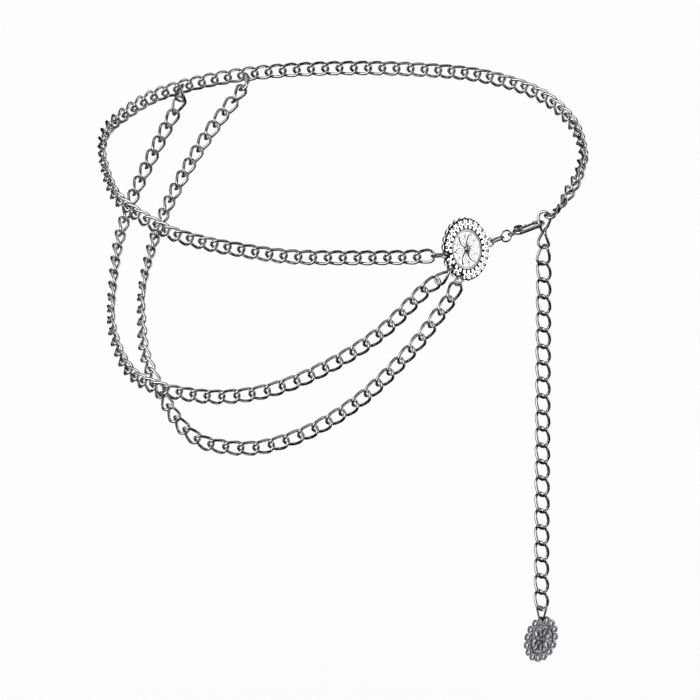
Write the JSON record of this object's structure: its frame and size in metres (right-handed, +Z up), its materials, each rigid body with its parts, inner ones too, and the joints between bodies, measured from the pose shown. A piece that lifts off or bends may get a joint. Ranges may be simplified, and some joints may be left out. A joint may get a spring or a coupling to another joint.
{
  "type": "waist chain",
  "caption": "Silver-tone curb chain worn on the hips: a belt with two hanging swags, a scalloped medallion, a lobster clasp and a hanging tail with a pierced round pendant.",
  "frame": {"origin": "centre of the waist loop, at the height of the belt at the wearer's sides", "axes": "+Z up along the body, -Y towards the front of the wearer, +X to the right in the front view"},
  "size_m": [0.2699, 0.2007, 0.3044],
  "materials": {
    "chain_silver": "polished silver plate with dark reflections",
    "medallion_silver": "polished relief, darkened in the recesses",
    "fitting_silver": "polished silver plate",
    "aged_silver": "aged silver, dark grey in the pierced relief"
  },
  "bodies": {
    "chain": {"medallion": "medallion_silver", "belt_ring": "fitting_silver", "belt_chain": "chain_silver", "upper_swag": "chain_silver", "lower_swag": "chain_silver", "swag_ring": "fitting_silver", "clasp_link": "fitting_silver", "clasp_ring": "fitting_silver", "clasp_body": "fitting_silver", "tail_chain": "chain_silver", "pendant_bail": "fitting_silver"},
    "lever": {"clasp_lever": "fitting_silver"},
    "drop": {"pendant": "aged_silver"}
  },
  "joints": [
    {"name": "clasp_lever_hinge", "type": "hinge", "parent": "chain", "child": "lever", "pos_m": [0.09431, -0.05741, -0.02408], "axis": [-0.2022, -0.0986, 0.9744], "range_deg": [-30, 0], "stiffness_Nm_per_rad": 0.004},
    {"name": "pendant_swing", "type": "hinge", "parent": "chain", "child": "drop", "pos_m": [0.10841, -0.05343, -0.2483], "axis": [0.6947, -0.7193, 0], "range_deg": [-45, 45]}
  ]
}
